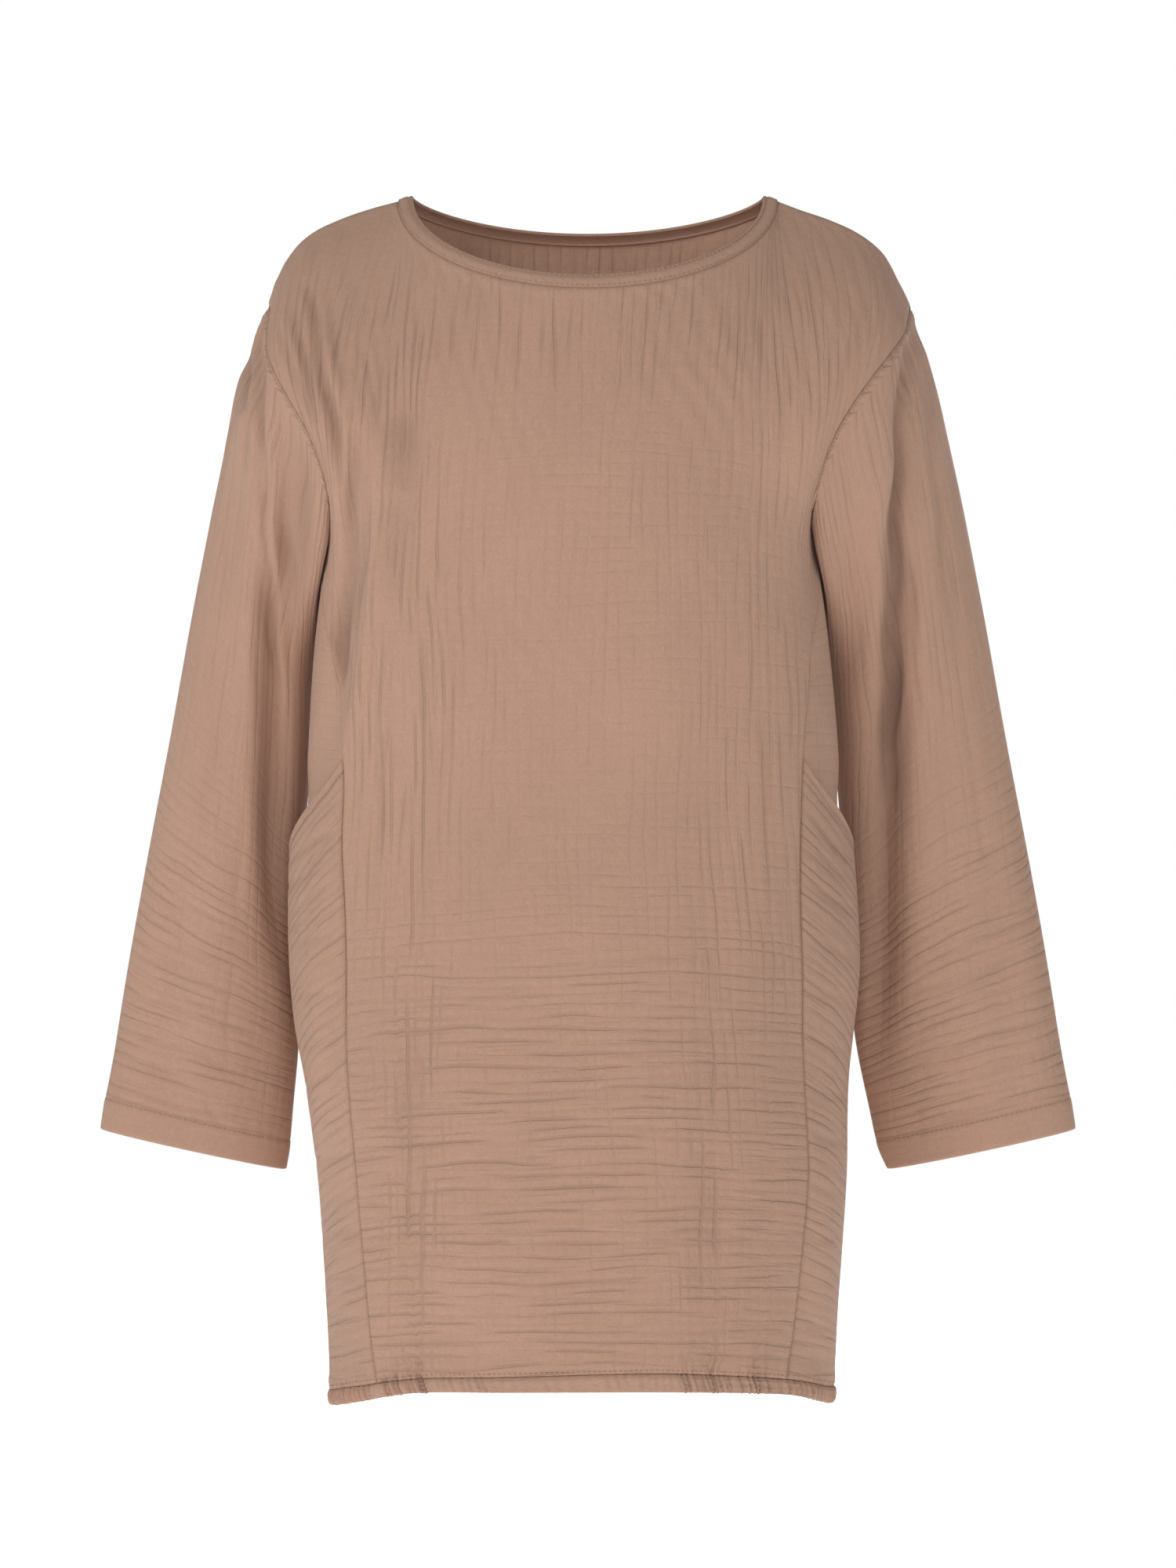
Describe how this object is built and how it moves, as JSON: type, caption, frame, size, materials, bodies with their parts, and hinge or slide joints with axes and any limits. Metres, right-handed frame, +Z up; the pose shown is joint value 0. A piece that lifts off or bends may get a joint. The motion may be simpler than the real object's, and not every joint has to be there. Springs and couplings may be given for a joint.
{
  "type": "blouse",
  "caption": "Pull-on tunic blouse in tan crinkled gauze: banded scoop neck, gathered dropped sleeves, slanted side pockets and an elasticated hem, filled out as worn.",
  "frame": {"origin": "middle of the neck opening, level with the neck ends of the shoulder seams", "axes": "+X to the right of the front view, -Y out of the front, +Z up"},
  "size_m": [0.626, 0.2641, 0.7701],
  "materials": {
    "cloth": "matt crinkled cotton double gauze"
  },
  "bodies": {
    "root": {"front_panel": "cloth", "back_panel": "cloth", "side_upper_left": "cloth", "side_lower_left": "cloth", "side_upper_right": "cloth", "side_lower_right": "cloth", "sleeve_left": "cloth", "sleeve_right": "cloth", "neck_band": "cloth", "hem_casing": "cloth"}
  },
  "joints": []
}
